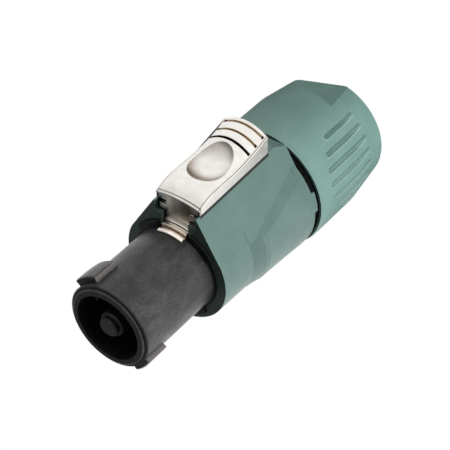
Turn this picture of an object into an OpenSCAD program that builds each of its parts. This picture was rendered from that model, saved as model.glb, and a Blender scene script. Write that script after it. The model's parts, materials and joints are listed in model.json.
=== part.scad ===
// Four-pole locking speaker connector for a cable.
// The axis is Z: the cable enters at z = 0 and the nose points up. The thumb latch faces -Y.

/* [Nose] */
// Outer diameter of the round nose
nose_d = 19; // [17:0.1:20]
// Inner diameter of the nose cavity
cavity_d = 14.9; // [13.6:0.1:15.2]
// Length of the nose in front of the housing
nose_len = 21.1; // [18:0.1:26]
// Height of the inner lip at the rim
lip_h = 0.5; // [0.2:0.1:1]
// Length of the bayonet lug on the far side
long_lug_len = 6.2; // [5.6:0.1:9]
// Height of the long lug above the nose
long_lug_h = 1.4; // [1.3:0.05:1.8]
// Length of the short bayonet lug
short_lug_len = 5.4; // [4:0.1:7]
// Height of the short lug above the nose
short_lug_h = 0.9; // [0.5:0.05:1.4]
// Diameter of the central post
post_d = 5.5; // [5.2:0.1:6]
// Thickness of the floor of the cavity
web_t = 1.7; // [1.2:0.1:2.5]

/* [Housing] */
// Diameter of the housing at its front face
front_d = 24.5; // [24.4:0.1:26]
// Diameter of the rear rim
rim_d = 27.8; // [27.2:0.1:28.6]
// Length of the housing in front of the back nut
body_len = 29.1; // [28.5:0.1:33]
// Bore of the housing
bore_d = 22.6; // [22.2:0.1:22.8]
// Thickness of the front wall
front_wall = 2.2; // [1.6:0.1:3]
// Wall of the threaded spigot under the back nut
spigot_wall = 1.3; // [1.1:0.05:1.4]
// Length of the threaded spigot
spigot_len = 13.7; // [11:0.1:14]
// Slope of the flats beside the latch, seen from the front
flat_angle = 31; // [28:0.5:33]
// Slope of the narrow facets on the raised section
facet_angle = 50.7; // [49:0.1:53]

/* [Latch] */
// Width of the thumb latch
latch_w = 10.6; // [9.8:0.1:11]
// Length of the thumb latch
latch_len = 22.4; // [20:0.1:23]
// Height of the latch seat above the axis at the front
seat_h = 14.9; // [14.7:0.1:15.4]
// Travel of the latch
travel = 2.5; // [1.5:0.1:3]
// Thickness of the steel tongue
tongue_t = 0.8; // [0.5:0.1:0.9]
// Width of the neck of the tongue
neck_w = 5.6; // [4.8:0.1:6]
// Wall of the latch
latch_wall = 1.3; // [1:0.1:1.5]
// Number of cross grooves for the thumb
thumb_grooves = 3; // [1:1:3]
// Depth of the cross grooves
thumb_groove_depth = 0.5; // [0.2:0.05:0.6]
// Depth of the thumb dimple
dimple_depth = 1.1; // [0.4:0.1:1.2]

/* [Back nut] */
// Wall of the back nut round the seal ring
nut_wall = 0.85; // [0.7:0.05:1.2]
// Width of the seal ring
seal_w = 0.65; // [0.4:0.05:0.8]
// Length of the back nut
nut_len = 25.3; // [24.8:0.1:27]
// Distance across the two spanner flats
across_flats = 21.7; // [21.6:0.1:24]
// Length of the flats
flat_len = 8.8; // [7:0.1:9]
// Angle of the first flat round the axis
flat_turn = -73.6; // [-90:0.1:0]
// Number of grip grooves on each side
grip_grooves = 7; // [3:1:7]
// Width of a grip groove
groove_w = 1.4; // [1:0.1:2]
// Depth of a grip groove
groove_depth = 0.6; // [0.4:0.1:0.9]
// Diameter of the hole for the cable
cable_hole_d = 16; // [14.6:0.1:16.4]

/* [Cable chuck] */
// Largest cable diameter
cable_d = 13; // [9:0.1:13.4]
// Number of clamping fingers
fingers = 6; // [4:1:8]
// Width of the slots between the fingers
slot_w = 1.2; // [0.8:0.1:1.6]

/* [Contacts] */
// Width of a contact blade
blade_w = 3; // [2.4:0.1:3.2]
// Thickness of a contact blade
blade_t = 0.6; // [0.5:0.05:0.7]
// Diameter of a terminal screw
screw_d = 2.6; // [2.2:0.1:3]
// Gap inside a clamp for the wire
wire_gap = 2.4; // [2:0.1:2.6]

/* [Hidden] */

green = [0.46, 0.57, 0.55];
black = [0.22, 0.22, 0.24];
pale_metal = [0.93, 0.92, 0.89];
steel = [0.62, 0.60, 0.56];
brass = [0.80, 0.68, 0.42];

$fn = 96;
eps = 0.01;

// Clearances: pieces that stay together, pieces that slide past each other
fixed_gap = 0.05;
slide_gap = 0.3;
thread_gap = 0.08;

// Stations along the axis, from the cable end to the nose
rim_gap = 1.4;
rim_z = nut_len + rim_gap;
face_z = rim_z + body_len;
nose_z = face_z + nose_len;
spigot_z = rim_z - spigot_len;

// Radii shared by several pieces
nose_r = nose_d / 2;
cavity_r = cavity_d / 2;
post_r = post_d / 2;
bore_r = bore_d / 2;
front_r = front_d / 2;
rim_r = rim_d / 2;
spigot_r = bore_r + spigot_wall;
mouth_r = spigot_r + seal_w + slide_gap;
nut_r = mouth_r + nut_wall;
cable_r = cable_d / 2;

// Points on a circle and on an arc
function polar(r, a) = [r * cos(a), r * sin(a)];
function arc(centre, r, a0, a1, n) = [for (i = [0 : n]) centre + polar(r, a0 + (a1 - a0) * i / n)];
function smooth(t) = let (c = max(0, min(1, t))) c * c * (3 - 2 * c);

// A wedge of space round the axis, for cutting sectors out of rings
module wedge(a0, a1, z0, z1) {
    reach = 60;
    middle = (a0 + a1) / 2;
    translate([0, 0, z0]) linear_extrude(z1 - z0)
        polygon([[0, 0], polar(reach, a0), polar(reach, middle), polar(reach, a1)]);
}

// A box with its X and Y middle on the axis, or from y0 to y1
module box(w, y0, y1, z0, z1) {
    translate([-w / 2, min(y0, y1), z0]) cube([w, abs(y1 - y0), z1 - z0]);
}

// Collar keys of the nose, as spans of angle round the axis
upper_keys = [[-145, -112], [-68, -35]];
lower_key = [48, 132];
key_r = bore_r - 0.15;
neck_r = nose_r + 0.45;
key_gap_angle = 0.6;

// The flange of the nose sits behind the front wall of the housing
flange_z = face_z - front_wall - fixed_gap;
flange_len = 5;
flange_r = bore_r - fixed_gap;
collar_proud = 0.5;
core_r = nose_r - 0.6;
cavity_z = face_z + 0.8;
web_z = cavity_z - web_t;

// Slot in the front of the housing that the tongue moves in
slot_half = neck_w / 2 + 0.4;
slot_z = face_z - 1.2 - travel - 0.9;
lug_front = 1;

// Blades in the cavity wall and on the post
blade_tip_z = nose_z - 5.1;
blade_in = cavity_r - 0.1;
blade_out = blade_in + blade_t;

module housing() color(green) difference() {
    union() {
        front_body();
        raised_section();
        rear_rim();
        spring_post();
        // threaded spigot, drawn to the crest of its thread
        translate([0, 0, spigot_z]) rotate_extrude() polygon([
            [0, 0], [spigot_r - 0.6, 0], [spigot_r, 0.6], [spigot_r, spigot_len + 1], [0, spigot_len + 1]
        ]);
    }
    // bore, with the front wall left in place
    translate([0, 0, spigot_z - eps]) cylinder(r = bore_r, h = face_z - front_wall - spigot_z + eps);
    translate([0, 0, spigot_z]) cylinder(r = neck_r + 0.1, h = face_z - spigot_z + 1);
    for (key = concat(upper_keys, [lower_key]))
        intersection() {
            translate([0, 0, face_z - front_wall - 1]) cylinder(r = key_r + 0.1, h = front_wall + 2);
            wedge(key[0] - key_gap_angle, key[1] + key_gap_angle, face_z - front_wall - 1, face_z + 1);
        }
    tongue_slots();
}

// Front body: a slightly conical barrel and the block of the latch seat, both cut by the flats
body_rear_r = front_r + 0.6;
seat_slope = 2.4;
seat_front_z = face_z - 1.2;
seat_end_z = rim_z + 3.1;
rear_slope = 20;
function seat_y(z) = -seat_h - (seat_front_z - z) * tan(seat_slope);

// A frame at the front edge of the seat, tilted like the seat
module seat_frame() {
    translate([0, -seat_h, seat_front_z]) rotate([-seat_slope, 0, 0]) children();
}

module front_body() {
    big = 60;
    difference() {
        union() {
            translate([0, 0, rim_z]) cylinder(r1 = body_rear_r, r2 = front_r, h = body_len);
            box(2 * front_r - 2, 0, -seat_h - 3, rim_z + 0.2, face_z);
        }
        // top of the seat
        seat_frame() translate([-big / 2, -big, -big]) cube([big, big, 2 * big]);
        // flats on both sides, each through an upper edge of the seat
        for (side = [-1, 1]) on_side(side)
            seat_frame() translate([latch_w / 2, 0, 0]) rotate([0, 0, -flat_angle])
                translate([0, -big / 2, -big]) cube([big, big, 2 * big]);
        // slope down to the rear rim behind the latch
        translate([-big / 2, seat_y(seat_end_z), seat_end_z]) rotate([180 + rear_slope, 0, 0])
            cube([big, big, big]);
    }
}

// Mirror to the -X side where side is -1
module on_side(side) {
    if (side > 0) children();
    else mirror([1, 0, 0]) children();
}

// Raised grip section round the lower side, cut by the two narrow facets
step_foot_z = face_z - 7.7;
step_top_z = face_z - 13.2;
raised_r = front_r + 1;
facet_tilt = 8.6;
facet_z = face_z - 10.5;
facet_r = raised_r - 2.05;
module raised_section() {
    big = 60;
    difference() {
        translate([0, 0, rim_z]) rotate_extrude() polygon([
            [0, 0.5], [rim_r, 0.5], [rim_r, 2.2], [raised_r + 0.47, 5], [raised_r + 0.3, 8],
            [raised_r + 0.13, 12], [raised_r, step_top_z - rim_z - 0.8],
            [raised_r - 0.35, step_top_z - rim_z + 0.8],
            [front_r - 0.1, step_foot_z - rim_z + 0.6], [0, step_foot_z - rim_z + 0.6]
        ]);
        for (side = [-1, 1]) on_side(side)
            rotate([0, 0, -facet_angle]) translate([facet_r, 0, facet_z]) rotate([0, -facet_tilt, 0])
                translate([0, -big / 2, -big]) cube([big, big, 2 * big]);
    }
}

// Rim at the rear, with a rounded edge and a small index tab
rim_round = 1;
module rear_rim() {
    translate([0, 0, rim_z]) rotate_extrude() polygon(concat(
        [[0, 0]], arc([rim_r - rim_round, rim_round], rim_round, -90, 0, 6),
        [[rim_r, 1.7], [rim_r - 0.9, 2.7], [0, 2.7]]
    ));
    intersection() {
        translate([0, 0, rim_z - 0.6]) difference() {
            cylinder(r = rim_r - 0.1, h = 1.6);
            translate([0, 0, -1]) cylinder(r = spigot_r + 0.65, h = 4);
        }
        wedge(-176, -157, rim_z - 1, rim_z + 2);
    }
}

// T-shaped channel for the tongue, its opening in the front face, and the recess for the hooks
channel_top_w = 5;
channel_w = 7.8;
strip_y = -seat_h + 0.7;
module tongue_slots() {
    rear_z = strip_rear_z - travel - 0.4;
    slot_low_y = -nose_r + 0.1;
    // wide lower part of the T, narrow upper part
    box(channel_w, strip_y + tongue_t + 0.1, strip_y - 0.1, rear_z, face_z + 1);
    box(channel_top_w, strip_y, -seat_h - 3, rear_z, face_z + 1);
    // slot for the neck and the foot
    box(2 * slot_half, slot_low_y, -seat_h - 3, slot_z, face_z + 1);
    // recess for the hooks
    box(2 * hook_reach + 0.8, -hook_low + 0.3, -seat_h - 1, slot_z, face_z + 1);
}

// Post on the seat that carries the rear end of the spring and stops the latch
post_w = 3;
post_t = 1;
latch_front_z = face_z - 1.2;
latch_rear_z = latch_front_z - latch_len;
stop_z = latch_rear_z + latch_wall + fixed_gap;
spring_y = -seat_h - 2.15;
spring_z = stop_z + post_t;
spring_len = 6.4;
spring_r = 1.1;
wire_r = 0.2;
module spring_post() {
    box(post_w, -seat_h + 1, spring_y - spring_r, stop_z, spring_z);
    translate([0, spring_y, spring_z - eps]) cylinder(r = spring_r - 2 * wire_r - 0.1, h = 1.4, $fn = 24);
}

module latch_spring() {
    turns = 5;
    sides = 6;
    steps = 12 * turns;
    coil_r = spring_r - wire_r;
    pitch = (spring_len - 2 * wire_r) / turns;
    function ring(i) = let (a = 360 * i / 12, z = wire_r + pitch * i / 12)
        [for (j = [0 : sides - 1]) let (b = 360 * j / sides, r = coil_r + wire_r * cos(b))
            [r * cos(a), r * sin(a), z + wire_r * sin(b)]];
    points = [for (i = [0 : steps]) each ring(i)];
    walls = [for (i = [0 : steps - 1], j = [0 : sides - 1]) let (k = (j + 1) % sides)
        [i * sides + j, (i + 1) * sides + j, (i + 1) * sides + k, i * sides + k]];
    ends = [[for (j = [0 : sides - 1]) j], [for (j = [sides - 1 : -1 : 0]) steps * sides + j]];
    color(steel) translate([0, spring_y, spring_z]) polyhedron(points, concat(walls, ends));
}

// Thumb latch: height of its side edge and of its crown, s mm behind its front end
edge_front = 1.6;
edge_h = 2.95;
rise_start = 10.7;
function edge_height(s) = s < 5 ? edge_h - (edge_h - edge_front) * pow(1 - s / 5, 2)
    : s < rise_start ? edge_h + 0.004 * (s - 5) * (rise_start - s)
    : edge_h + 0.0125 * pow(s - rise_start, 2) + 0.045 * (s - rise_start);
function crown_height(s) = 0.65 + (s < 6 ? 0.02 * sin(30 * s) : 0) + 1.6 * smooth((s - 6) / 11) - 0.35 * smooth((s - 17) / 5.5);
function latch_top(x, s) = let (v = x / (latch_w / 2))
    seat_h + edge_height(s) + crown_height(s) * (1 - v * v);

// Stations of the latch along its length as [distance behind the front end, depth of groove].
// Cross grooves near the rear end have a sloped front wall and a steep rear wall.
groove_pitch = 2.35;
last_groove = 0.85;
smooth_rows = 24;
function groove_s(k) = latch_len - last_groove - k * groove_pitch;
smooth_end = groove_s(thumb_grooves - 1) - groove_pitch / 4;
latch_rows = concat(
    [for (i = [0 : smooth_rows]) [smooth_end * i / smooth_rows, 0]],
    [for (k = [thumb_grooves - 1 : -1 : 0]) let (g = groove_s(k)) each concat(
        [[g - 0.3, 0], [g - 0.1, thumb_groove_depth], [g + 0.08, thumb_groove_depth], [g + 0.13, 0]],
        k > 0 ? [[g + groove_pitch / 2, 0]] : []
    )],
    [[latch_len, 0]]
);

// Egg-shaped thumb dimple with a crisp rim: a squashed ball sunk into the crown
dimple_s = 10.4;
dimple_len = 9;
dimple_w = 9.4;
dimple_sink = 0.62;
module dimple() {
    full = 1 / sqrt(1 - dimple_sink * dimple_sink);
    height = dimple_depth / (1 - dimple_sink);
    slope = atan((latch_top(0, dimple_s + 4) - latch_top(0, dimple_s - 4)) / 8);
    translate([0, -latch_top(0, dimple_s) - dimple_sink * height + 0.25, latch_front_z - dimple_s])
        rotate([-slope, 0, 0]) scale([dimple_w / 2 * full, height, dimple_len / 2 * full]) sphere(1, $fn = 48);
}

module latch_button() color(pale_metal) {
    rib_z = spring_z + spring_len;
    difference() {
        latch_block();
        dimple();
        // seat of the neck in the front end
        box(neck_w + 2 * fixed_gap, 0, neck_y - fixed_gap, neck_z - tongue_t - fixed_gap, latch_front_z + 1);
        // hollow over the spring, open towards the seat
        hollow_rear = latch_rear_z + latch_wall;
        box(latch_w - 2 * latch_wall, 0, -seat_h - 2, hollow_rear, rib_z);
        box(post_w + 2 * slide_gap, 0, spring_y - spring_r - 0.25, hollow_rear, rib_z);
    }
    // foot of the latch that reaches down through the channel onto the tongue
    box(channel_top_w - 2 * slide_gap, strip_y, -seat_h - 1.5, rib_z + 1.5, latch_front_z - 1);
}

// Outside of the latch as one lofted block: a grid of heights over its length and width.
// Its underside follows the seat.
module latch_block() {
    cols = 14;
    rows = len(latch_rows) - 1;
    function row_s(i) = latch_rows[i][0];
    function col_x(j) = latch_w * (j / cols - 0.5);
    lift = 0.15;
    top = [for (i = [0 : rows], j = [0 : cols])
        [col_x(j), latch_rows[i][1] - latch_top(col_x(j), row_s(i)), latch_front_z - row_s(i)]];
    bottom = [for (i = [0, rows], j = [0, cols])
        [col_x(j), seat_y(latch_front_z - row_s(i)) - lift, latch_front_z - row_s(i)]];
    function t(i, j) = i * (cols + 1) + j;
    n = len(top);
    faces = concat(
        [for (i = [0 : rows - 1], j = [0 : cols - 1]) each [
            [t(i, j), t(i + 1, j), t(i + 1, j + 1)], [t(i, j), t(i + 1, j + 1), t(i, j + 1)]]],
        [concat([for (j = [0 : cols]) t(0, j)], [n + 1, n])],
        [concat([for (j = [cols : -1 : 0]) t(rows, j)], [n + 2, n + 3])],
        [concat([for (i = [rows : -1 : 0]) t(i, 0)], [n, n + 2])],
        [concat([for (i = [0 : rows]) t(i, cols)], [n + 3, n + 1])],
        [[n, n + 1, n + 3, n + 2]]
    );
    polyhedron(concat(top, bottom), [for (f = faces) [for (k = [len(f) - 1 : -1 : 0]) f[k]]]);
}

// Steel tongue: strip under the latch, neck in front of the housing, hooks and stepped foot
hook_reach = 4.5;
hook_low = seat_h - 2.05;
hook_h = 1.15;
strip_w = 7.2;
strip_rear_z = spring_z + spring_len + 1.5;
neck_z = latch_front_z + 0.15;
neck_y = -seat_h - edge_front - 0.3;
foot_front = 2.95;
foot_w = 6;
foot_r = nose_r + 0.15;
module latch_tongue() color(steel) {
    box(strip_w, strip_y, strip_y + tongue_t, strip_rear_z, slot_z + travel + 0.6);
    box(channel_top_w - 0.2, strip_y, strip_y + tongue_t, strip_rear_z, neck_z - eps);
    box(neck_w, neck_y, -foot_r - 0.5, neck_z - tongue_t, neck_z);
    box(2 * hook_reach, -hook_low, -hook_low - hook_h, neck_z - tongue_t, neck_z);
    intersection() {
        rotate_extrude() translate([0, neck_z]) polygon([
            [foot_r, -tongue_t], [foot_r + 1.8, -tongue_t], [foot_r + 1.8, 0], [foot_r + 1.3, 0.3],
            [foot_r + 1.05, 0.7], [foot_r + 0.55, 1.5], [foot_r + 0.3, 1.6], [foot_r + 0.3, 2.1],
            [foot_r + 0.5, 2.25], [foot_r + 0.35, foot_front - 0.1], [foot_r + 0.2, foot_front], [foot_r, foot_front]
        ]);
        box(foot_w, -nose_r + 2, -nose_r - 5, neck_z - 2, neck_z + foot_front + 1);
    }
}

module nose_insert() color(black) difference() {
    union() {
        rotate_extrude() polygon([
            [0, web_z], [nose_r, web_z], [nose_r, nose_z - 0.25], [nose_r - 0.25, nose_z],
            [cavity_r + 1.3, nose_z], [cavity_r + 1.15, nose_z + lip_h - 0.1], [cavity_r + 1, nose_z + lip_h],
            [0, nose_z + lip_h]
        ]);
        // collar in the front wall, and flange behind it
        translate([0, 0, flange_z - flange_len]) cylinder(r = flange_r, h = flange_len);
        translate([0, 0, flange_z - 1]) cylinder(r = neck_r, h = face_z - flange_z + 1);
        for (key = concat(upper_keys, [lower_key])) intersection() {
            translate([0, 0, flange_z - 1]) cylinder(r = key_r, h = face_z + collar_proud - flange_z + 1);
            wedge(key[0], key[1], flange_z - 2, face_z + 2);
        }
        long_lug();
        short_lug();
    }
    // cavity and its way out
    translate([0, 0, cavity_z]) cylinder(r = cavity_r, h = nose_len + 5);
    // socket for the carrier, and hole for the post
    translate([0, 0, flange_z - flange_len - 1]) cylinder(r = core_r + fixed_gap, h = web_z - flange_z + flange_len + 1);
    translate([0, 0, web_z - 1]) cylinder(r = post_r + 0.55, h = web_t + 2);
    // slots for the two blades in the wall
    for (side = [0, 180]) rotate(side) rotate(-90)
        box(blade_w + 0.3, blade_in - 1, blade_out + 0.1, web_z - 1, blade_tip_z + 0.3);
    // way for the foot of the tongue
    difference() {
        box(2 * slot_half + 0.2, -nose_r + 1, -bore_r - 1, slot_z - 0.3, face_z + collar_proud + 1);
        translate([0, 0, slot_z - 1]) cylinder(r = nose_r, h = face_z - slot_z + 4);
    }
}

// Long lug with a humped back and a low near side, and the plain short lug
lug_side_h = 1.2;
lug_turn = -70.5;
long_lug_span = 33;
short_lug_span = 29;
module long_lug() {
    z1 = nose_z - lug_front;
    z0 = z1 - long_lug_len;
    top = nose_r + long_lug_h;
    difference() {
        intersection() {
            rotate_extrude() polygon([
                [nose_r - 1, z0], [nose_r, z0], [nose_r + lug_side_h - 0.05, z0 + 0.3], [top - 0.08, z0 + 1.6],
                [top, z0 + 3.2], [top, z1 - 0.3], [top - 0.15, z1], [nose_r - 1, z1]
            ]);
            wedge(lug_turn, lug_turn + long_lug_span, z0 - 1, z1 + 1);
        }
        // chamfer down to the near side
        rotate(lug_turn) translate([nose_r + lug_side_h, 0, 0]) rotate(-20)
            translate([0, -nose_r, z0 - 1]) cube([nose_r, nose_r + 3, long_lug_len + 2]);
    }
}

short_lug_turn = 128;
module short_lug() {
    z1 = nose_z - 0.1;
    intersection() {
        rotate_extrude() polygon([
            [nose_r - 1, z1 - short_lug_len], [nose_r + short_lug_h, z1 - short_lug_len],
            [nose_r + short_lug_h, z1 - 0.4], [nose_r + short_lug_h - 0.3, z1], [nose_r - 1, z1]
        ]);
        wedge(short_lug_turn, short_lug_turn + short_lug_span, z1 - short_lug_len - 1, z1 + 1);
    }
}

// Black core: terminal block behind the nose and central post in the cavity
block_len = 16;
block_top = flange_z - flange_len - fixed_gap;
block_z = block_top - block_len;
leg_z = block_top + 0.2;
post_blade_in = post_r - 0.7;
clamp_t = 1;
pocket_w = blade_w + 2.4;
pocket_in = blade_in - wire_gap - clamp_t - 0.3;
pocket_out = blade_out + 1.5;
pocket_len = 10;
screw_z = block_z + 5.5;
module contact_carrier() color(black) difference() {
    union() {
        translate([0, 0, block_z]) cylinder(r = flange_r, h = block_len);
        translate([0, 0, block_top - 1]) cylinder(r = core_r, h = web_z - block_top + 1 - fixed_gap);
        rotate_extrude() translate([0, block_top]) polygon([
            [0, 0], [post_r, 0], [post_r, nose_z - 0.9 - block_top], [post_r - 0.3, nose_z - 0.6 - block_top],
            [post_r - 0.6, nose_z - 0.6 - block_top], [post_r - 0.6, nose_z + 0.1 - block_top],
            [post_r - 0.9, nose_z + 0.4 - block_top], [0, nose_z + 0.4 - block_top]
        ]);
    }
    for (a = [0 : 90 : 270]) rotate(a - 90) {
        // pocket for a clamp, open to the rear, and the hole for its screw
        box(pocket_w, pocket_in, pocket_out, block_z - 1, block_z + pocket_len);
        translate([0, pocket_in, screw_z]) rotate([-90, 0, 0]) cylinder(d = screw_d + 2.4, h = flange_r, $fn = 48);
        // slot for the blade above the pocket
        box(blade_w + 0.2, blade_in - 0.05, blade_out + 0.05, block_z + pocket_len - 1, block_top + 1);
    }
    // ways for the blades in front of the block
    for (a = [0, 180]) rotate(a - 90)
        box(blade_w + 0.2, blade_in - 0.05, blade_out + 0.05, block_top - 1, web_z + 1);
    for (a = [90, 270]) rotate(a - 90) {
        box(blade_w + 0.2, post_blade_in - 0.05, blade_out + 0.05, leg_z - 0.3, leg_z + blade_t + 0.1);
        box(blade_w + 0.2, post_blade_in - 0.05, post_r + 0.6, leg_z, blade_tip_z + 0.1);
    }
}

// Blade in the cavity wall: a straight strip from the clamp to the cavity
tail_z = block_z + 2.2;
module wall_blade(a) color(brass) rotate(a - 90) {
    box(blade_w, blade_in, blade_out, tail_z, blade_tip_z - 0.6);
    // lead-in at the tip
    translate([0, 0, blade_tip_z - 0.6]) rotate([90, 0, 90]) linear_extrude(blade_w, center = true)
        polygon([[blade_in, 0], [blade_out, 0], [blade_out, 0.6], [blade_in + 0.3, 0.6]]);
}

// Blade on the post: down the post, out over the block and down into the clamp
module post_blade(a) color(brass) rotate(a - 90) {
    out = post_blade_in + blade_t;
    box(blade_w, post_blade_in, out, leg_z, blade_tip_z - 0.6);
    translate([0, 0, blade_tip_z - 0.6]) rotate([90, 0, 90]) linear_extrude(blade_w, center = true)
        polygon([[post_blade_in, 0], [out, 0], [out - 0.3, 0.6], [post_blade_in, 0.6]]);
    box(blade_w, post_blade_in, blade_out, leg_z, leg_z + blade_t);
    box(blade_w, blade_in, blade_out, tail_z, leg_z + blade_t);
}

// Clamp: a square cage round the tail of the blade, tapped for the screw
clamp_w = blade_w + 2;
clamp_len = 6;
clamp_out = blade_out + 0.1 + clamp_t;
module clamp(a) color(brass) rotate(a - 90) difference() {
    z0 = screw_z - clamp_len / 2;
    inside = blade_in - wire_gap;
    box(clamp_w, inside - clamp_t, clamp_out, z0, z0 + clamp_len);
    box(clamp_w - 1.6, inside, blade_out + 0.1, z0 - 1, z0 + clamp_len + 1);
    translate([0, blade_out - 1, screw_z]) rotate([-90, 0, 0]) cylinder(d = screw_d + 0.06, h = 4, $fn = 48);
}

// Terminal screw: shank through the clamp onto the blade, slotted cheese head
module terminal_screw(a) color(steel) rotate(a - 90) difference() {
    head_y = clamp_out + 0.4;
    top_y = flange_r - 0.4;
    union() {
        translate([0, blade_out + 0.02, screw_z]) rotate([-90, 0, 0])
            cylinder(d = screw_d, h = head_y - blade_out, $fn = 48);
        translate([0, head_y, screw_z]) rotate([-90, 0, 0])
            cylinder(d = screw_d + 1.8, h = top_y - head_y, $fn = 48);
    }
    box(0.6, top_y - 0.5, top_y + 1, screw_z - 4, screw_z + 4);
}

// Cone inside the back nut that presses the chuck
cone_top_z = 12;
cone_low_z = 4.6;
nut_bore_r = spigot_r + thread_gap;
cone_top_r = nut_bore_r - 1.5;
hole_r = cable_hole_d / 2;
flat_sweep_r = 20;
flat_sweep_shift = 8;
flat_tilt = 2.5;
taper_len = 11.6;
taper_in = 1.35;
mouth_len = 2.8;
mouth_step = 0.4;
cone_slope = (cone_top_r - hole_r) / (cone_top_z - cone_low_z);
module back_nut() color(green) difference() {
    rear_round = 0.9;
    rear_r = nut_r - taper_in;
    rotate_extrude($fn = 144) polygon(concat(
        [[hole_r, 0]],
        arc([rear_r - rear_round, rear_round], rear_round, -90, 0, 5),
        [
            [nut_r - 0.05, taper_len - 1], [nut_r, taper_len], [nut_r, nut_len - 0.9], [nut_r - 0.25, nut_len],
            [mouth_r, nut_len], [mouth_r, nut_len - mouth_len], [nut_bore_r, nut_len - mouth_len - mouth_step],
            [nut_bore_r, cone_top_z + 0.2], [cone_top_r, cone_top_z], [hole_r, cone_low_z]
        ]
    ));
    for (a = [0, 180]) rotate(flat_turn + a) {
        // spanner flat with a curved front edge
        translate([across_flats / 2, 0, 0]) rotate([0, flat_tilt, 0]) rotate([90, 0, 90])
            linear_extrude(nut_r) intersection() {
                translate([-nut_r, -1]) square([2 * nut_r, flat_len + 1]);
                translate([-flat_sweep_shift, flat_len - flat_sweep_r]) circle(flat_sweep_r);
            }
        // grip grooves, longest in the middle of the row
        for (k = [0 : grip_grooves - 1]) let (m = k - (grip_grooves - 1) / 2)
            rotate(90 + m * groove_pitch_angle) grip_groove(groove_front - groove_arc * m * m);
    }
}

// One grip groove: a round-ended channel that runs out on the rear taper
groove_pitch_angle = 12.2;
groove_setback = 4.2;
groove_rear = 2;
groove_front = nut_len - groove_setback;
groove_arc = 0.49;
module grip_groove(front_z) {
    floor_r = nut_r - groove_depth;
    translate([floor_r + groove_w / 2, 0, 0]) {
        translate([0, 0, groove_rear]) cylinder(d = groove_w, h = front_z - groove_w / 2 - groove_rear, $fn = 24);
        translate([0, 0, front_z - groove_w / 2]) sphere(d = groove_w, $fn = 24);
    }
}

ring_len = 2.4;
module seal_ring() color([0.03, 0.03, 0.03]) translate([0, 0, rim_z - ring_len]) difference() {
    cylinder(r = spigot_r + seal_w, h = ring_len - fixed_gap);
    translate([0, 0, -1]) cylinder(r = spigot_r + 0.02, h = ring_len + 2);
}

// Collet with slotted, tapered fingers
chuck_top_z = block_z - 2 * fixed_gap;
chuck_r = bore_r - slide_gap;
chuck_wall = 1.2;
chuck_web = 1.5;
finger_top = 2.5;
function cone_r(z) = hole_r + (z - cone_low_z) * cone_slope;
module cable_chuck() color(black) difference() {
    low_z = cone_low_z + 0.8;
    grip = 0.06;
    rotate_extrude() polygon([
        [cable_r, low_z], [cone_r(low_z) - grip, low_z], [cone_r(cone_top_z) - grip, cone_top_z],
        [chuck_r, cone_top_z + 0.3],
        [chuck_r, chuck_top_z], [chuck_r - chuck_wall, chuck_top_z],
        [chuck_r - chuck_wall, cone_top_z + finger_top + chuck_web], [cable_r, cone_top_z + finger_top]
    ]);
    for (k = [0 : fingers - 1]) rotate(360 * k / fingers)
        translate([0, -slot_w / 2, low_z - 1]) cube([nut_r, slot_w, cone_top_z - low_z]);
}

housing();
nose_insert();
contact_carrier();
latch_button();
latch_tongue();
latch_spring();
back_nut();
seal_ring();
cable_chuck();
wall_blade(180);  // contact_left
wall_blade(0);  // contact_right
post_blade(270);  // contact_front
post_blade(90);  // contact_back
clamp(180);  // clamp_left
clamp(0);  // clamp_right
clamp(270);  // clamp_front
clamp(90);  // clamp_back
terminal_screw(180);  // screw_left
terminal_screw(0);  // screw_right
terminal_screw(270);  // screw_front
terminal_screw(90);  // screw_back
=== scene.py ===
import json
import math

import bpy
from mathutils import Matrix, Vector


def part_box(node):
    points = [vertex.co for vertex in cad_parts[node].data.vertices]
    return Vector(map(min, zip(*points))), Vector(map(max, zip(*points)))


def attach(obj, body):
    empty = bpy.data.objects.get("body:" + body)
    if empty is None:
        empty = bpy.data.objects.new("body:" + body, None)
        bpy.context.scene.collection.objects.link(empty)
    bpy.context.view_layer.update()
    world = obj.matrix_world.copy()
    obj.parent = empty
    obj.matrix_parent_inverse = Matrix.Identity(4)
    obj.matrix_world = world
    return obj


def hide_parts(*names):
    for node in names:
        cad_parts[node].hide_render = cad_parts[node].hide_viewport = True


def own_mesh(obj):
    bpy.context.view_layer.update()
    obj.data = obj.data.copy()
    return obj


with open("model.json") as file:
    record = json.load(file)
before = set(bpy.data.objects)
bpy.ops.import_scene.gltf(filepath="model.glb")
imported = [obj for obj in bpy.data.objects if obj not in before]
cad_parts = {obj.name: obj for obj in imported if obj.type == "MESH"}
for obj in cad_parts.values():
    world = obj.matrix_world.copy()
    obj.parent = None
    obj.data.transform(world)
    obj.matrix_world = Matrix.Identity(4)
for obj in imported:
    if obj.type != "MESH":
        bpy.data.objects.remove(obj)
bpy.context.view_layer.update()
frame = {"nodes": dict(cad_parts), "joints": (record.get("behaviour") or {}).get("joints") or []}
nodes = frame["nodes"]
MM = 0.001


# Places and sizes that follow the solids, in metres

LATCH_REAR, LATCH_FRONT = (corner.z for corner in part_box("latch_button"))
LATCH_TRAVEL = next(joint["range_m"][1] for joint in frame["joints"] if joint["name"] == "latch_slide")
SEAT_H = 14.9 * MM
FACE_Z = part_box("housing")[1].z
RECESS_HALF = 5.3 * MM
NOSE_R = 9.5 * MM

# Tongue: the front of its neck, and its foot bent round the nose
NECK_Z = LATCH_FRONT + 0.15 * MM
NECK_HALF = 2.8 * MM
FOOT_R = NOSE_R + 0.15 * MM
FOOT_HALF = 3.0 * MM

# Cross grooves of the latch, counted from its rear end, and how far their walls lie behind and ahead
LAST_GROOVE = 0.85 * MM
GROOVE_PITCH = 2.35 * MM
GROOVE_HALF = 4.75 * MM
GROOVE_BACK = 0.24 * MM
GROOVE_FRONT = 0.34 * MM

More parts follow.
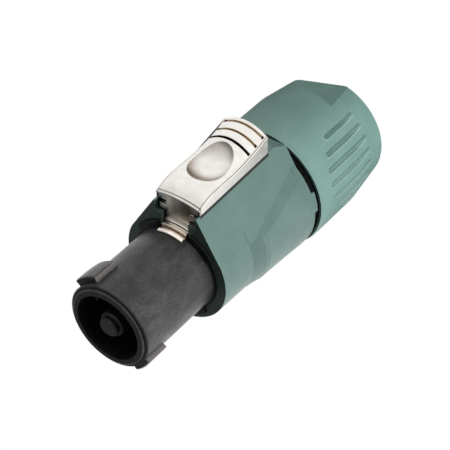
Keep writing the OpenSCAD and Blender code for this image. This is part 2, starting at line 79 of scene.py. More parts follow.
# Side walls of the two bayonet lugs, in degrees round the axis
LUG_WALLS = (-70.5, -70.5 + 33, 128, 128 + 29)

# Step in front of the raised section of the housing: a cone, and the slanted sides where it ends
STEP_TOP_Z = FACE_Z - 12.4 * MM
STEP_END_Z = FACE_Z - 9.0 * MM
STEP_TOP_R = 12.9 * MM
STEP_TAPER = -0.1415
SLANT_Y = -7.8 * MM

# Grip grooves of the nut: turn and step of a row in degrees, where the middle one ends, how much sooner
# the others end, and the radius of their floor
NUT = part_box("back_nut")[1]
GRIP_TURN = 16.4
GRIP_STEP = 12.2
GRIP_HALF_COUNT = 3
GRIP_END = NUT.z - 4.2 * MM
GRIP_ARC = 0.49 * MM
GRIP_FLOOR = NUT.x - 0.6 * MM

# Thread on the spigot, behind the seal ring
THREAD_PITCH = 2 * MM
THREAD_DEPTH = 0.5 * MM
RING_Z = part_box("seal_ring")[0].z
SPIGOT_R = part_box("seal_ring")[1].x - 0.65 * MM


# Form of the latch in mm, as the solids have it. s is the distance behind its front end.

SEAT_SLOPE = math.radians(2.4)
HALF_WIDTH = 5.3

# Side edges over the seat: up from the front end, a slight bow, and a curve up to the rear
EDGE_FRONT = 1.6
EDGE_H = 2.95
BOW_START = 5
BOW = 0.004
RISE_START = 10.7
RISE_SLOPE = 0.045
RISE_CURVE = 0.0125

# Crown over the side edges: a slight ripple in front, a long rise behind it and a fall at the rear
CROWN_H = 0.65
RIPPLE = 0.02
RIPPLE_DEGREES = 30
CROWN_RISE = 1.6
CROWN_RISE_START = 6
CROWN_RISE_LEN = 11
CROWN_FALL = 0.35
CROWN_FALL_START = 17
CROWN_FALL_LEN = 5.5

# Thumb dimple: a squashed ball sunk into the crown, as steep as the crown is over its reach
DIMPLE_S = 10.4
DIMPLE_DEPTH = 1.1
DIMPLE_SINK = 0.62
DIMPLE_W = 9.4
DIMPLE_LEN = 9
DIMPLE_REACH = 4
DIMPLE_LIFT = 0.25

# Half width of the latch in metres, just inside its side walls
LATCH_HALF = (HALF_WIDTH - 0.02) * MM


def smooth(t):
    t = min(max(t, 0), 1)
    return t * t * (3 - 2 * t)


def edge_height(s):
    """Height of the side edges over the seat"""
    if s < BOW_START:
        return EDGE_H - (EDGE_H - EDGE_FRONT) * (1 - s / BOW_START) ** 2
    if s < RISE_START:
        return EDGE_H + BOW * (s - BOW_START) * (RISE_START - s)
    return EDGE_H + RISE_CURVE * (s - RISE_START) ** 2 + RISE_SLOPE * (s - RISE_START)


def crown_height(s):
    """Height of the middle over the side edges"""
    ripple = RIPPLE * math.sin(math.radians(RIPPLE_DEGREES * s)) if s < CROWN_RISE_START else 0
    rise = CROWN_RISE * smooth((s - CROWN_RISE_START) / CROWN_RISE_LEN)
    fall = CROWN_FALL * smooth((s - CROWN_FALL_START) / CROWN_FALL_LEN)
    return CROWN_H + ripple + rise - fall


def latch_top(x, s):
    """Height of the latch over the axis, x off its middle"""
    return SEAT_H / MM + edge_height(s) + crown_height(s) * (1 - (x / HALF_WIDTH) ** 2)


# Formulas that a shader works out at each point

# Length over which a mask usually fades
SOFT = 0.1 * MM

# Likeness of the rounded and the flat normal, on a sharp edge and on a plain surface
EDGE_LIKENESS = 0.86
PLAIN_LIKENESS = 0.985


class Field:
    """A number, colour or direction that differs from point to point. It is added to others and multiplied
    with them as a plain number is."""

    def __init__(self, socket):
        self.socket = socket
        self.tree = socket.id_data

    def __add__(self, other):
        return calc("ADD", self, other)

    def __sub__(self, other):
        return calc("SUBTRACT", self, other)

    def __rsub__(self, other):
        return calc("SUBTRACT", other, self)

    def __mul__(self, other):
        return calc("MULTIPLY", self, other)

    def __truediv__(self, other):
        return calc("DIVIDE", self, other)

    def __abs__(self):
        return calc("ABSOLUTE", self)


def connect(socket, value):
    """Feeds an input with a field or a plain value"""
    if isinstance(value, Field):
        value.tree.links.new(value.socket, socket)
    else:
        socket.default_value = value


def fill(node, inputs, output=0):
    """Feeds the inputs of a node and gives one of its outputs"""
    for key, value in inputs.items():
        connect(node.inputs[key], value)
    return Field(node.outputs[output])


def calc(operation, *terms):
    """One step of a formula over fields and plain numbers"""
    tree = next(term.tree for term in terms if isinstance(term, Field))
    node = tree.nodes.new("ShaderNodeMath")
    node.operation = operation
    return fill(node, dict(enumerate(terms)))


def split(place):
    """The x, y and z of a place or direction"""
    node = place.tree.nodes.new("ShaderNodeSeparateXYZ")
    fill(node, {0: place})
    return [Field(socket) for socket in node.outputs]


def from_axis(x, y):
    """Distance from the axis of the part"""
    return calc("SQRT", x * x + y * y)


def turned(a, b, angle):
    """The same point along and across a direction turned by an angle"""
    c, s = math.cos(angle), math.sin(angle)
    return a * c + b * s, a * -s + b * c


def fade(value, start, end, low, high):
    """Goes softly from low to high as the value goes from start to end"""
    node = value.tree.nodes.new("ShaderNodeMapRange")
    node.interpolation_type = "SMOOTHSTEP"
    return fill(node, {"Value": value, "From Min": start, "From Max": end, "To Min": low, "To Max": high})


def band(value, low, high, soft):
    """1 from low to high, falling to 0 over the soft length beyond them"""
    off = abs(value - (low + high) / 2)
    return fade(off, (high - low) / 2, (high - low) / 2 + soft, 1.0, 0.0)


def ranged(noise, low, high):
    """Goes evenly from low to high over the middle part of a noise"""
    node = noise.tree.nodes.new("ShaderNodeMapRange")
    return fill(node, {"Value": noise, "From Min": 0.3, "From Max": 0.7, "To Min": low, "To Max": high})


def ramp(value, start, end, dark, light):
    """Colour that goes from dark to light as the value goes from start to end"""
    node = value.tree.nodes.new("ShaderNodeValToRGB")
    for stop, place, colour in zip(node.color_ramp.elements, (start, end), (dark, light)):
        stop.position = place
        stop.color = (*colour, 1)
    return fill(node, {0: value})


def empty_tree(owner):
    """The node tree of a material or world, with nothing in it"""
    owner.use_nodes = True
    owner.node_tree.nodes.clear()
    return owner.node_tree


def show(tree, kind, shader):
    """Makes a shader the one that the material or world shows"""
    connect(tree.nodes.new(kind).inputs[0], shader)


class Look:
    """A material with one shader. Its place is that of each point on the part, in metres."""

    def __init__(self, name):
        self.material = bpy.data.materials.new(name)
        self.tree = empty_tree(self.material)
        self.shader = self.tree.nodes.new("ShaderNodeBsdfPrincipled")
        show(self.tree, "ShaderNodeOutputMaterial", Field(self.shader.outputs[0]))
        self.place = Field(self.tree.nodes.new("ShaderNodeTexCoord").outputs["Object"])

    def noise(self, scale, detail, stretch=None):
        place = self.place
        if stretch:
            place = fill(self.tree.nodes.new("ShaderNodeMapping"), {"Vector": place, "Scale": stretch})
        node = self.tree.nodes.new("ShaderNodeTexNoise")
        return fill(node, {"Vector": place, "Scale": scale, "Detail": detail}, "Fac")

    def bevel(self, radius):
        """The normal of the surface, rounded off at the edges"""
        node = self.tree.nodes.new("ShaderNodeBevel")
        node.samples = 6
        return fill(node, {"Radius": radius})

    def bump(self, height, depth):
        """Relief in the surface, as high as the depth where the height is 1"""
        normal = self.shader.inputs["Normal"]
        before = Field(normal.links[0].from_socket)
        node = self.tree.nodes.new("ShaderNodeBump")
        connect(normal, fill(node, {"Distance": depth, "Height": height, "Normal": before}))

    def surface(self, edge, layers):
        """Rounded edges, and fine grain in layers of scale and depth"""
        connect(self.shader.inputs["Normal"], self.bevel(edge))
        for scale, depth in layers:
            self.bump(self.noise(scale, detail=3.0), depth)

    def tint(self, mask, colour, how="MIX"):
        """Takes the base colour towards another one where the mask is 1"""
        base = self.shader.inputs["Base Color"]
        before = Field(base.links[0].from_socket)
        node = self.tree.nodes.new("ShaderNodeMix")
        node.data_type = "RGBA"
        node.blend_type = how
        if isinstance(colour, tuple):
            colour = (*colour, 1)
        connect(base, fill(node, {0: mask, 6: before, 7: colour}, 2))

    def sharp_edges(self, radius):
        """1 along the sharp edges, broken up by noise"""
        node = self.tree.nodes.new("ShaderNodeVectorMath")
        node.operation = "DOT_PRODUCT"
        flat = Field(self.tree.nodes.new("ShaderNodeNewGeometry").outputs["Normal"])
        likeness = fill(node, {0: self.bevel(radius), 1: flat}, "Value")
        edge_mask = fade(likeness, EDGE_LIKENESS, PLAIN_LIKENESS, 1.0, 0.0)
        return edge_mask * fade(self.noise(scale=260, detail=4.0), 0.35, 0.6, 0.25, 1.0)


def plastic(name, dark, light, rough, edge=0.15 * MM, spec=0.5, grain=0.006 * MM, speckle=0.06, edge_wear_and_highlight=None):
    """Moulded plastic, uneven and finely speckled, with edges lightened to another colour if that colour
    is given: partly wear, partly a painted highlight on the rounded edges
    """
    look = Look(name)
    clouds = look.noise(scale=160, detail=3.0)
    connect(look.shader.inputs["Base Color"], ramp(clouds, 0.35, 0.65, dark, light))
    spots = look.noise(scale=2600, detail=2.0)
    look.tint(1.0, ramp(spots, 0.3, 0.7, (1 - speckle,) * 3, (1 + speckle,) * 3), "MULTIPLY")
    if edge_wear_and_highlight:
        # Lighter edges: partly wear, partly a painted highlight
        look.tint(look.sharp_edges(0.3 * MM), edge_wear_and_highlight)
    handled = look.noise(scale=420, detail=4.0)
    connect(look.shader.inputs["Roughness"], ranged(handled, rough - 0.04, rough + 0.05))
    look.shader.inputs["Specular IOR Level"].default_value = spec
    look.surface(edge, [(3000, grain), (900, grain * 1.5)])
    return look


def metal(name, dark, light, rough, edge=0.1 * MM, grain=0.002 * MM, stretch=None, metallic=1.0):
    """Uneven metal, drawn out along its length if stretch is given"""
    look = Look(name)
    clouds = look.noise(scale=500, detail=4.0, stretch=stretch)
    connect(look.shader.inputs["Base Color"], ramp(clouds, 0.35, 0.65, dark, light))
    handled = look.noise(scale=900, detail=4.0, stretch=stretch)
    connect(look.shader.inputs["Roughness"], ranged(handled, rough - 0.05, rough + 0.07))
    look.shader.inputs["Metallic"].default_value = metallic
    look.surface(edge, [(1800, grain)])
    return look


# Painted light and shade, and the uneven tone of the nose. The painted shade on the foot has a place in
# front of the neck in mm, from and to, and a colour.

LATCH_EDGE_SHADE = (0.17, 0.125, 0.09)
GROOVE_SHADE = ((0.62, 0.52, 0.40), (0.52, 0.43, 0.31), (0.03, 0.023, 0.018))
GROOVE_END_SHADE = (0.06, 0.04, 0.03)
DIMPLE_SHADE = (0.36, 0.29, 0.24)
NOSE_PATCHES = (0.5, 0.5, 0.5)
NOSE_COLLAR_SHADE = (0.55, 0.55, 0.55)
LUG_WALL_LIGHT = (0.17, 0.155, 0.15)
FOOT_HIGHLIGHT = (0.92, 0.85, 0.76)
FOOT_STEP_SHADE = ((0.45, 0.66, (0.03, 0.02, 0.015)), (1.5, 1.72, (0.16, 0.10, 0.07)))
NECK_HIGHLIGHT = (0.88, 0.82, 0.72)
HOOK_HIGHLIGHT = (0.95, 0.88, 0.77)
NECK_SHADE = (0.26, 0.22, 0.17)
RECESS_SHADE = (0.25, 0.25, 0.25)
GRIP_WALL_SHADE = (0.62, 0.64, 0.64)
GRIP_LIP_HIGHLIGHT = (0.34, 0.46, 0.43)
LATCH_SIDE_SHADOW = (0.006, 0.010, 0.009)
STEP_SHADE = (0.76, 0.81, 0.81)
COLLAR_SHADE = (0.010, 0.011, 0.011)
THREAD_ROOT_SHADE = (0.45, 0.45, 0.45)


def painted_shade_in_grooves(look):
    """Painted shade in the cross grooves of the latch, darkest in the one by the dimple and at their ends
    """
    x, _, z = split(look.place)
    across = band(x, -GROOVE_HALF, GROOVE_HALF, SOFT)
    ends = band(abs(x), GROOVE_HALF - 0.3 * MM, GROOVE_HALF + 0.05 * MM, 0.12 * MM)
    for k, colour in enumerate(GROOVE_SHADE):
        middle = LATCH_REAR + LAST_GROOVE + k * GROOVE_PITCH
        along = band(z, middle - GROOVE_BACK, middle + GROOVE_FRONT, 0.08 * MM)
        # Painted shade along each groove, darker at its ends
        look.tint(across * along, colour)
        look.tint(ends * along, GROOVE_END_SHADE)


def painted_shade_along_edges(look):
    """Painted shade: a thin brown line inside the side edges and the front lip of the latch"""
    x, _, z = split(look.place)
    beside = band(abs(x), LATCH_HALF - 0.22 * MM, LATCH_HALF - 0.14 * MM, 0.06 * MM)
    lip = band(z, LATCH_FRONT - 0.36 * MM, LATCH_FRONT - 0.2 * MM, 0.07 * MM)
    weaker = fade(x, -4.5 * MM, 4.5 * MM, 1.0, 0.7)
    # Painted shade along the edges, weaker towards +x
    look.tint(calc("MAXIMUM", beside, lip) * weaker, LATCH_EDGE_SHADE)


def shade_in_dimple(look):
    """Painted shade: the walls of the dimple are darkened and brownish, most on the front side.
    A point is in the dimple where it lies on the squashed ball that forms it."""
    x, y, z = split(look.place)
    full = MM / math.sqrt(1 - DIMPLE_SINK ** 2)
    height = DIMPLE_DEPTH / (1 - DIMPLE_SINK)
    rise = latch_top(0, DIMPLE_S + DIMPLE_REACH) - latch_top(0, DIMPLE_S - DIMPLE_REACH)
    above = y + (latch_top(0, DIMPLE_S) + DIMPLE_SINK * height - DIMPLE_LIFT) * MM
    forward = z - (LATCH_FRONT - DIMPLE_S * MM)
    along, out = turned(forward, above, math.atan(rise / (2 * DIMPLE_REACH)))
    u = x / (DIMPLE_W / 2 * full)
    v = along / (DIMPLE_LEN / 2 * full)
    w = out / (height * MM)
    flat = u * u + v * v
    on_ball = band(flat + w * w, 0.98, 1.02, 0.02)
    wall = on_ball * fade(calc("SQRT", flat), 0.35, 0.86, 0.0, 1.0)
    front_side = fade(u * 0.6 + v * 0.8, -0.8, 0.75, 0.5, 1.0)
    # Painted shade on the dimple walls
    look.tint(wall * front_side, DIMPLE_SHADE, "MULTIPLY")


def mottled_and_shaded_nose(look):
    """Uneven dark patches and short streaks along the nose, and painted shade near the collar"""
    z = split(look.place)[2]
    streaks = look.noise(scale=420, detail=5.0, stretch=(1, 1, 0.45))
    near_collar = fade(z, FACE_Z + 9 * MM, FACE_Z + 1 * MM, 0.0, 0.55)
    look.tint(fade(streaks, 0.38, 0.6, 0.75, 0.0), NOSE_PATCHES, "MULTIPLY")
    # Painted shade on the nose close to the housing
    look.tint(near_collar, NOSE_COLLAR_SHADE, "MULTIPLY")


def painted_light_on_lug_walls(look):
    """Side walls of the bayonet lugs, painted lighter as if lit"""
    x, y, _ = split(look.place)
    for angle in LUG_WALLS:
        out, off = turned(x, y, math.radians(angle))
        on_wall = band(off, -0.04 * MM, 0.04 * MM, 0.03 * MM)
        # Painted light on each lug wall
        look.tint(on_wall * fade(out, NOSE_R, NOSE_R + 0.12 * MM, 0.0, 1.0), LUG_WALL_LIGHT)


def painted_shade_on_collar(look):
    """The keyed collar in the front of the housing is darkened: painted shade"""
    z = split(look.place)[2]
    # Painted shade on the collar
    look.tint(fade(z, FACE_Z + 0.7 * MM, FACE_Z + 0.52 * MM, 0.0, 1.0), COLLAR_SHADE)


def painted_light_on_neck(look):
    """The front of the tongue has a painted highlight, but for the brownish painted shade on the side of
    its neck
    """
    x, y, z = split(look.place)
    front = fade(z, NECK_Z - SOFT, NECK_Z, 0.0, 1.0)
    neck = front * fade(y, -SEAT_H + 3.0 * MM, -SEAT_H + 2.5 * MM, 0.0, 1.0)
    hooks = fade(abs(x), NECK_HALF, NECK_HALF + SOFT, 0.0, 1.0)
    # Painted highlight on the neck and hooks, and painted brownish shade on the neck towards -x
    look.tint(neck * fade(x, 0.5 * MM, 2.5 * MM, 0.0, 1.0), NECK_HIGHLIGHT)
    look.tint(hooks * front, HOOK_HIGHLIGHT)
    look.tint(neck * fade(x, 0.5 * MM, -2.2 * MM, 0.0, 0.8), NECK_SHADE)


def painted_light_and_shade_on_foot(look):
    """Painted highlight on the foot, with brown painted shade between its steps"""
    z = split(look.place)[2]
    foot = fade(z, NECK_Z, NECK_Z + SOFT, 0.0, 1.0)
    # Painted highlight over the foot, then painted shade in the creases beside the tread
    look.tint(foot, FOOT_HIGHLIGHT)
    for low, high, colour in FOOT_STEP_SHADE:
        look.tint(foot * band(z, NECK_Z + low * MM, NECK_Z + high * MM, 0.05 * MM), colour)


def painted_shade_on_step(look):
    """Painted shade on the round part of the step in front of the raised section, darker than its
    surroundings
    """
    x, y, z = split(look.place)
    cone = (z - STEP_TOP_Z) * STEP_TAPER + STEP_TOP_R
    on_cone = band(from_axis(x, y) - cone, -0.04 * MM, 0.1 * MM, 0.05 * MM)
    round_part = on_cone * fade(y, SLANT_Y, SLANT_Y + 0.7 * MM, 0.0, 1.0)
    along = band(z, STEP_TOP_Z - 0.2 * MM, STEP_END_Z, 0.25 * MM)
    # Painted shade on the step
    look.tint(round_part * along, STEP_SHADE, "MULTIPLY")


def dark_recess(look):
    """Dull shade on the walls of the recess behind the hooks of the tongue"""
    x, y, z = split(look.place)
    beside = band(x, -RECESS_HALF, RECESS_HALF, 0.02 * MM)
    deep = fade(z, FACE_Z - 0.02 * MM, FACE_Z - 0.15 * MM, 0.0, 1.0)
    up_to_nose = band(y, -SEAT_H + 0.3 * MM, -NOSE_R, SOFT)
    look.tint(beside * deep * up_to_nose, RECESS_SHADE, "MULTIPLY")


def painted_shadow_beside_latch(look):
    """Painted shadow: a dark line on the seat along both sides of the latch"""
    x, y, z = split(look.place)
    beside = band(abs(x), LATCH_HALF - 0.2 * MM, LATCH_HALF + 0.22 * MM, 0.06 * MM)
    along = band(z, LATCH_REAR - 0.2 * MM, LATCH_FRONT, SOFT)
    on_seat = fade(y, -SEAT_H + 0.5 * MM, -SEAT_H + 0.2 * MM, 0.0, 1.0)
    # Painted shadow beside the latch
    look.tint(beside * along * on_seat, LATCH_SIDE_SHADOW)


def painted_light_and_shade_in_grips(look):
    """Painted shade on one wall and a painted highlight on one lip in each grip groove of the nut, as far
    as the groove is cut
    """
    x, y, z = split(look.place)
    cut = fade(from_axis(x, y), GRIP_FLOOR - 0.15 * MM, GRIP_FLOOR - 0.02 * MM, 0.0, 1.0)
    for turn in (GRIP_TURN, GRIP_TURN + 180):
        ahead, aside = turned(x, y, math.radians(turn))
        count = calc("ARCTAN2", aside, ahead) / math.radians(GRIP_STEP)
        row = fade(abs(count), GRIP_HALF_COUNT + 0.3, GRIP_HALF_COUNT + 0.35, 1.0, 0.0)
        behind_end = fade(GRIP_END - count * count * GRIP_ARC - z, 0.1 * MM, 0.7 * MM, 0.0, 1.0)
        where = row * behind_end * cut
        wall = calc("PINGPONG", count - 0.08, 0.5)
        lip = calc("PINGPONG", count + 0.23, 0.5)
        # Painted shade on one wall and a painted highlight on the lip of each groove
        look.tint(where * fade(wall, 0.04, 0.16, 1.0, 0.0), GRIP_WALL_SHADE, "MULTIPLY")
        look.tint(where * fade(lip, 0.02, 0.07, 0.6, 0.0), GRIP_LIP_HIGHLIGHT)


def thread_on_spigot(look):
    """Helical thread on the spigot of the housing, seen when the nut is unscrewed, with painted shade in
    its roots
    """
    x, y, z = split(look.place)
    turn = calc("ARCTAN2", y, x) / (2 * math.pi)
    wave = calc("PINGPONG", z / THREAD_PITCH - turn, 0.5)
    behind_ring = fade(z, RING_Z, RING_Z - SOFT, 0.0, 1.0)
    outside = fade(from_axis(x, y), SPIGOT_R - 0.4 * MM, SPIGOT_R - 0.2 * MM, 0.0, 1.0)
    where = behind_ring * outside
    look.bump(where * fade(wave, 0.08, 0.3, 0.0, 1.0), THREAD_DEPTH)
    # Painted shade in the roots of the thread
    look.tint(where * fade(wave, 0.04, 0.16, 1.0, 0.0), THREAD_ROOT_SHADE, "MULTIPLY")


# Materials, with the wear, uneven tone and painted light and shade of each

GREEN = plastic("green_plastic", (0.091, 0.160, 0.143), (0.109, 0.182, 0.164), 0.40,
                edge_wear_and_highlight=(0.19, 0.30, 0.27))
# The nut gets a lighter copy of the housing's green: painted light that makes up for the nut being less
# lit
GREEN_NUT_LIT = plastic("green_plastic_lit_for_nut", (0.150, 0.268, 0.238), (0.172, 0.296, 0.264), 0.40,
                    edge_wear_and_highlight=(0.26, 0.40, 0.365))
BLACK = plastic("black_plastic", (0.038, 0.037, 0.038), (0.058, 0.0565, 0.0575), 0.38,
                edge=0.1 * MM, spec=0.3, grain=0.03 * MM, speckle=0.35, edge_wear_and_highlight=(0.085, 0.083, 0.085))
CORE = plastic("core_plastic", (0.020, 0.020, 0.021), (0.028, 0.028, 0.029), 0.45, edge=0.08 * MM)
CHUCK = plastic("chuck_plastic", (0.025, 0.025, 0.026), (0.035, 0.035, 0.036), 0.5)
RUBBER = plastic("seal_rubber", (0.004, 0.004, 0.004), (0.007, 0.007, 0.007), 0.9, spec=0.05)
LATCH = metal("latch_metal", (0.74, 0.715, 0.678), (0.81, 0.79, 0.755), 0.27,
              edge=0.12 * MM, grain=0.0004 * MM, metallic=0.75)
STEEL = metal("tongue_steel", (0.50, 0.48, 0.45), (0.60, 0.58, 0.55), 0.30, stretch=(1, 1, 0.2))
SPRING = metal("spring_steel", (0.5, 0.5, 0.5), (0.6, 0.6, 0.6), 0.25)
BRASS = metal("contact_brass", (0.72, 0.60, 0.36), (0.80, 0.68, 0.43), 0.28)
NICKEL = metal("clamp_nickel", (0.62, 0.58, 0.50), (0.70, 0.66, 0.58), 0.32)
SCREW = metal("screw_steel", (0.50, 0.50, 0.51), (0.62, 0.62, 0.63), 0.28)
painted_shade_along_edges(LATCH)
painted_shade_in_grooves(LATCH)
shade_in_dimple(LATCH)
painted_light_on_neck(STEEL)
painted_light_and_shade_on_foot(STEEL)
mottled_and_shaded_nose(BLACK)
painted_light_on_lug_walls(BLACK)
painted_shade_on_collar(BLACK)
painted_shade_on_step(GREEN)
dark_recess(GREEN)
painted_shadow_beside_latch(GREEN)
thread_on_spigot(GREEN)
painted_light_and_shade_in_grips(GREEN_NUT_LIT)

LOOKS = {
    "housing": GREEN, "back_nut": GREEN_NUT_LIT, "nose_insert": BLACK, "contact_carrier": CORE,
    "cable_chuck": CHUCK, "seal_ring": RUBBER, "latch_button": LATCH, "latch_tongue": STEEL,
    "latch_spring": SPRING,
}
for side in ("left", "right", "front", "back"):
    LOOKS["contact_" + side] = BRASS
    LOOKS["clamp_" + side] = NICKEL
    LOOKS["screw_" + side] = SCREW
for node, look in LOOKS.items():
    nodes[node].data.materials.clear()
    nodes[node].data.materials.append(look.material)


# Pieces of the look

# Tread of the foot: points of its section in mm over the foot and in front of the neck
RIB_PROFILE = ((0.45, 0.62), (0.98, 0.68), (1.05, 0.76), (1.05, 1.36), (0.98, 1.44), (0.40, 1.50))
RIB_COLUMNS = 24

# Side skins of the latch, in mm: columns inside the side edge, and how far the skin stands off the solid
CHEEK_INSETS = (0.5, 0.35, 0.2, 0.08, 0)
CHEEK_ROWS = 60
CHEEK_LIFT = 0.2
CHEEK_PROUD = 0.012
CHEEK_SIDE = 0.025
CHEEK_CORNER = 0.03

# Lip of the latch, and its spring
BEAD_R = 0.24 * MM
BEAD_COLUMNS = 24
BEAD_SIDES = 12
WIRE_R = 0.2 * MM
WIRE_SIDES = 10
COIL_TURNS = 6.2
FLAT_TURNS = 0.6
STEPS_PER_TURN = 16


def add_object(name, data):
    o = bpy.data.objects.new(name, data)
    bpy.context.scene.collection.objects.link(o)
    return o


def mesh_piece(name, points, faces, look, body):
    """New piece of the part, which rides on a body and takes the material of a look"""
    me = bpy.data.meshes.new(name)
    me.from_pydata(points, [], faces)
    me.validate()
    me.update()
    me.materials.append(look.material)
    o = add_object(name, me)
    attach(o, body)
    return o


def shade_smooth(o):
    """Shades a piece as one smooth surface"""
    for face in o.data.polygons:
        face.use_smooth = True


def tube_faces(rows, sides):
    """Faces round a row of closed rings of points, with both ends shut"""
    faces = []
    for i in range(rows):
        here, ahead = i * sides, (i + 1) * sides
        for j in range(sides):
            k = (j + 1) % sides
            faces.append((here + j, here + k, ahead + k, ahead + j))
    return faces + [tuple(range(sides))[::-1], tuple(range(rows * sides, (rows + 1) * sides))]


def foot_rib():
    """Raised tread across the foot of the tongue, bent round the nose"""
    points = []
    for i in range(RIB_COLUMNS + 1):
        x = FOOT_HALF * (2 * i / RIB_COLUMNS - 1)
        for r, z in RIB_PROFILE:
            points.append((x, -math.sqrt((FOOT_R + r * MM) ** 2 - x * x), NECK_Z + z * MM))
    faces = tube_faces(RIB_COLUMNS, len(RIB_PROFILE))
    mesh_piece("foot_rib", points, faces, STEEL, "latch")


def latch_cheek(name, side):
    """Thin skin on one side of the latch, which closes the ends of the cross grooves"""
    columns = [HALF_WIDTH - inset for inset in CHEEK_INSETS]
    edge = HALF_WIDTH + CHEEK_SIDE
    points = []
    for i in range(CHEEK_ROWS + 1):
        s = (LATCH_FRONT - LATCH_REAR) / MM * i / CHEEK_ROWS
        z = LATCH_FRONT - s * MM
        low = SEAT_H / MM + CHEEK_LIFT + s * math.tan(SEAT_SLOPE)
        ring = [(columns[0], low)] + [(x, latch_top(x, s) + CHEEK_PROUD) for x in columns]
        ring += [(edge, latch_top(HALF_WIDTH, s) - CHEEK_CORNER), (edge, low)]
        points += [(side * x * MM, -h * MM, z) for x, h in ring]
    faces = tube_faces(CHEEK_ROWS, len(ring))
    if side > 0:
        faces = [face[::-1] for face in faces]
    mesh_piece(name, points, faces, LATCH, "latch")


def latch_bead():
    """Rounded lip along the front edge of the latch"""
    points = []
    for i in range(BEAD_COLUMNS + 1):
        v = 2 * i / BEAD_COLUMNS - 1
        top = latch_top(v * LATCH_HALF / MM, 0) * MM
        for j in range(BEAD_SIDES):
            a = 2 * math.pi * j / BEAD_SIDES
            y = -top + BEAD_R - BEAD_R * math.cos(a)
            points.append((LATCH_HALF * v, y, LATCH_FRONT + BEAD_R * math.sin(a)))
    faces = tube_faces(BEAD_COLUMNS, BEAD_SIDES)
    shade_smooth(mesh_piece("latch_bead", points, faces, LATCH, "latch"))


def latch_coil():
    """The return spring, with flat end turns and an even pitch between them."""
    low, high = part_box("latch_spring")
    middle = Vector(((low[0] + high[0]) / 2, (low[1] + high[1]) / 2, 0))
    radius = (high[0] - low[0]) / 2 - WIRE_R
    bottom, top = low[2] + WIRE_R, high[2] - WIRE_R
    steps, sides = round(STEPS_PER_TURN * COIL_TURNS), WIRE_SIDES
    points = []
    for i in range(steps + 1):
        turn = i / steps * COIL_TURNS
        rise = min(max((turn - FLAT_TURNS) / (COIL_TURNS - 2 * FLAT_TURNS), 0), 1)
        a = 2 * math.pi * turn
        out = Vector((math.cos(a), math.sin(a), 0))
        centre = middle + out * radius + Vector((0, 0, bottom + (top - bottom) * rise))
        for j in range(sides):
            b = 2 * math.pi * j / sides
            points.append(centre + out * (WIRE_R * math.cos(b)) + Vector((0, 0, WIRE_R * math.sin(b))))
    faces = []
    for i in range(steps):
        here, ahead = i * sides, (i + 1) * sides
        for j in range(sides):
            k = (j + 1) % sides
            faces.append((here + j, ahead + j, ahead + k, here + k))
    faces += [tuple(range(sides)), tuple(range(steps * sides, (steps + 1) * sides))[::-1]]
    o = mesh_piece("latch_coil", points, faces, SPRING, "housing_body")
    shade_smooth(o)
    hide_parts("latch_spring")
    1 - LATCH_TRAVEL / (high[2] - low[2])
    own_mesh(o)


foot_rib()
latch_cheek("latch_cheek_right", -1)
latch_cheek("latch_cheek_left", 1)
latch_bead()
latch_coil()


# Floor, light and camera

WHITE = (1, 1, 1, 1)
FLOOR_HALF = 3.0
FLOOR_GLOW = 0.58
FLOOR_SHINE = 1.25
SHADE_NEAR = 0.03
SHADE_FAR = 0.055
SHADE_SHINE = 0.1
SKY_LOW = 0.45
SKY_HIGH = 0.03
SKY_SHINE = 0.28
SKY_FRONT = 1.0
LAMP_TARGET = Vector((0, 0, 0.04))


def seen_white(tree, kind, strength):
    """Light that is pure white to the camera and has its own strength for everything else"""
    mix = tree.nodes.new("ShaderNodeMixShader")
    seen = Field(tree.nodes.new("ShaderNodeLightPath").outputs["Is Camera Ray"])
    light = fill(tree.nodes.new(kind), {"Color": WHITE, "Strength": strength})
    white = fill(tree.nodes.new(kind), {"Color": WHITE, "Strength": 1.0})
    return fill(mix, {0: seen, 1: light, 2: white})


def by_ray(tree, diffuse, glossy):
    """One strength for soft light and another for reflections"""
    mirrored = Field(tree.nodes.new("ShaderNodeLightPath").outputs["Is Glossy Ray"])
    return fill(tree.nodes.new("ShaderNodeMix"), {"Factor": mirrored, "A": diffuse, "B": glossy}, "Result")


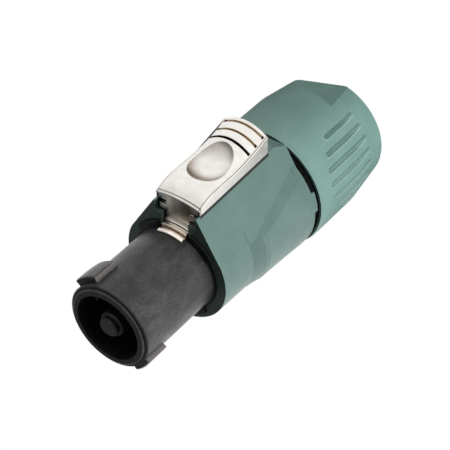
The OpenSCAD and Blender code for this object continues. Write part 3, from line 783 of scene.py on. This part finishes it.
def floor():
    """In reflections the floor is dim close to the part, as if in its shade, and bright further off"""
    me = bpy.data.meshes.new("floor")
    s = FLOOR_HALF
    me.from_pydata([(-s, -s, 0), (s, -s, 0), (s, s, 0), (-s, s, 0)], [], [(0, 1, 2, 3)])
    o = add_object("floor", me)
    mat = bpy.data.materials.new("floor")
    me.materials.append(mat)
    tree = empty_tree(mat)
    length = tree.nodes.new("ShaderNodeVectorMath")
    length.operation = "LENGTH"
    place = Field(tree.nodes.new("ShaderNodeTexCoord").outputs["Object"])
    mirrored = fade(fill(length, {0: place}, "Value"), SHADE_NEAR, SHADE_FAR, SHADE_SHINE, FLOOR_SHINE)
    light = seen_white(tree, "ShaderNodeEmission", by_ray(tree, FLOOR_GLOW, mirrored))
    show(tree, "ShaderNodeOutputMaterial", light)


def sky():
    """Bright near the ground and dark overhead, so that faces turned up stay dark"""
    world = bpy.data.worlds.new("studio")
    bpy.context.scene.world = world
    tree = empty_tree(world)
    _, y, z = split(Field(tree.nodes.new("ShaderNodeTexCoord").outputs["Generated"]))
    soft = fade(z, 0.0, 0.4, SKY_LOW, SKY_HIGH)
    ahead_of_latch = fade(y, -0.3, -0.75, 0.0, SKY_FRONT)
    mirrored = calc("MAXIMUM", fade(z, 0.0, 0.5, SKY_LOW, SKY_SHINE), ahead_of_latch)
    light = seen_white(tree, "ShaderNodeBackground", by_ray(tree, soft, mirrored))
    show(tree, "ShaderNodeOutputWorld", light)


def lamp(name, pos, size, power):
    """Rectangular lamp that neither the camera nor reflections see"""
    data = bpy.data.lights.new(name, "AREA")
    data.shape = "RECTANGLE"
    data.size, data.size_y = size
    data.energy = power
    o = add_object(name, data)
    o.location = pos
    o.rotation_euler = (LAMP_TARGET - Vector(pos)).to_track_quat("-Z", "Y").to_euler()
    o.visible_camera = False
    o.visible_glossy = False


floor()
sky()
lamp("key", (-0.52, 0.02, 0.035), (0.26, 0.06), 2.4)
lamp("back", (0.42, 0.38, 0.08), (0.30, 0.10), 1.3)
lamp("front", (-0.16, -0.50, 0.05), (0.30, 0.08), 1.1)

right = Vector((-0.803, 0.008, -0.596)).normalized()
ahead = Vector((0.450, 0.663, -0.598)).normalized()
up = right.cross(ahead).normalized()
right = ahead.cross(up).normalized()
cam_data = bpy.data.cameras.new("camera")
cam_data.lens = 136
cam_data.sensor_width = 36
cam_data.clip_start = 0.01
cam = add_object("camera", cam_data)
stand = Matrix((right, up, -ahead)).transposed().to_4x4()
stand.translation = Vector((-157.0, -230.7, 248.2)) * MM
cam.matrix_world = stand
bpy.context.scene.camera = cam
bpy.context.scene.view_settings.view_transform = "Standard"
